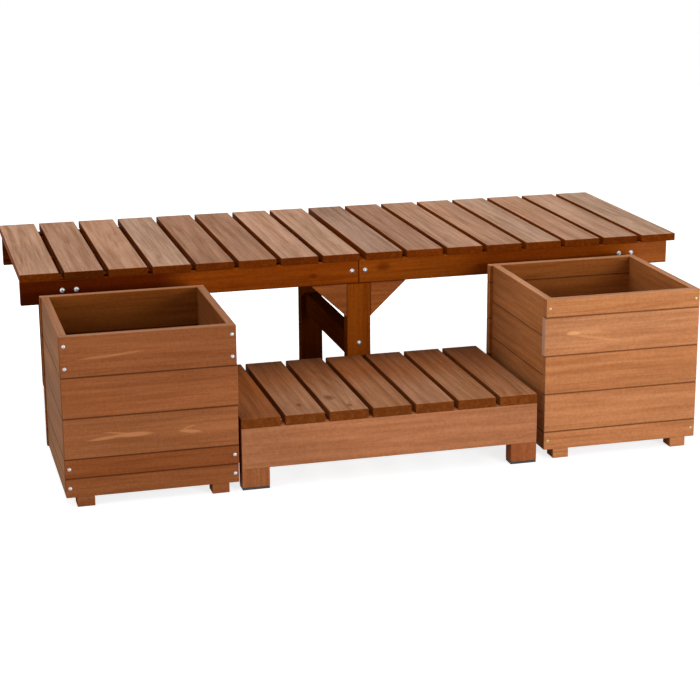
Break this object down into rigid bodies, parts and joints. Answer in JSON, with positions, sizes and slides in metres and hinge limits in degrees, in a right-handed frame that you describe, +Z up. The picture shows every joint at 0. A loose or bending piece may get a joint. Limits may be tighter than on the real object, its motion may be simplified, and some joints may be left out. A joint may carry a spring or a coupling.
{
  "type": "slatted garden bench with step and planter boxes",
  "caption": "Long slatted wooden garden bench on leg frames with a low slatted step in front of its middle and open cubic planter boxes in front of its ends.",
  "frame": {"origin": "on the floor under the middle of the whole set's bounding box", "axes": "+X along the bench to its right end as seen from the step, +Y from the step towards the back of the bench, +Z up"},
  "size_m": [1.8, 1.1274, 0.458],
  "materials": {
    "deck_wood": "brown stained softwood, tops weathered matt",
    "frame_wood": "brown stained softwood, satin",
    "step_wood": "brown stained softwood, matt",
    "fascia_wood": "light brown stained softwood, satin",
    "left_planter_wood": "mid brown stained softwood, satin",
    "right_planter_wood": "light brown stained softwood, satin",
    "bright_steel": "bright zinc-plated steel",
    "dull_steel": "dull yellow-plated steel",
    "rubber": "black rubber, matt"
  },
  "bodies": {
    "bench": {"deck_slat_01": "deck_wood", "deck_slat_02": "deck_wood", "deck_slat_03": "deck_wood", "deck_slat_04": "deck_wood", "deck_slat_05": "deck_wood", "deck_slat_06": "deck_wood", "deck_slat_07": "deck_wood", "deck_slat_08": "deck_wood", "deck_slat_09": "deck_wood", "deck_slat_10": "deck_wood", "deck_slat_11": "deck_wood", "deck_slat_12": "deck_wood", "deck_slat_13": "deck_wood", "deck_slat_14": "deck_wood", "deck_slat_15": "deck_wood", "deck_slat_16": "deck_wood", "deck_battens": "frame_wood", "front_rail_left": "frame_wood", "front_rail_right": "frame_wood", "back_rail_left": "frame_wood", "back_rail_right": "frame_wood", "front_leg_left": "frame_wood", "front_leg_middle": "frame_wood", "front_leg_right": "frame_wood", "back_leg_left": "frame_wood", "back_leg_middle": "frame_wood", "back_leg_right": "frame_wood", "cross_rail_left": "frame_wood", "cross_rail_middle": "frame_wood", "cross_rail_right": "frame_wood", "gussets": "frame_wood", "bench_bolts": "bright_steel", "bench_screws": "bright_steel", "bench_pads": "rubber"},
    "step": {"step_slat_1": "step_wood", "step_slat_2": "step_wood", "step_slat_3": "step_wood", "step_slat_4": "step_wood", "step_slat_5": "step_wood", "step_slat_6": "step_wood", "step_slat_7": "step_wood", "step_front_fascia": "fascia_wood", "step_back_fascia": "fascia_wood", "step_legs": "fascia_wood", "step_side_rails": "step_wood", "step_cleats": "step_wood", "step_pads": "rubber", "step_screws": "bright_steel"},
    "left_planter": {"left_planter_front": "left_planter_wood", "left_planter_back": "left_planter_wood", "left_planter_sides": "left_planter_wood", "left_planter_floor": "left_planter_wood", "left_planter_feet": "left_planter_wood", "left_planter_screws": "bright_steel"},
    "right_planter": {"right_planter_front": "right_planter_wood", "right_planter_back": "right_planter_wood", "right_planter_sides": "right_planter_wood", "right_planter_floor": "right_planter_wood", "right_planter_feet": "right_planter_wood", "right_planter_screws": "dull_steel"}
  },
  "joints": [
    {"name": "step_slide", "type": "slide", "parent": "bench", "child": "step", "axis": [0, -1, 0], "range_m": [0, 0.3]},
    {"name": "left_planter_slide", "type": "slide", "parent": "bench", "child": "left_planter", "axis": [0, -1, 0], "range_m": [0, 0.3]},
    {"name": "right_planter_slide", "type": "slide", "parent": "bench", "child": "right_planter", "axis": [0, -1, 0], "range_m": [0, 0.3]}
  ]
}
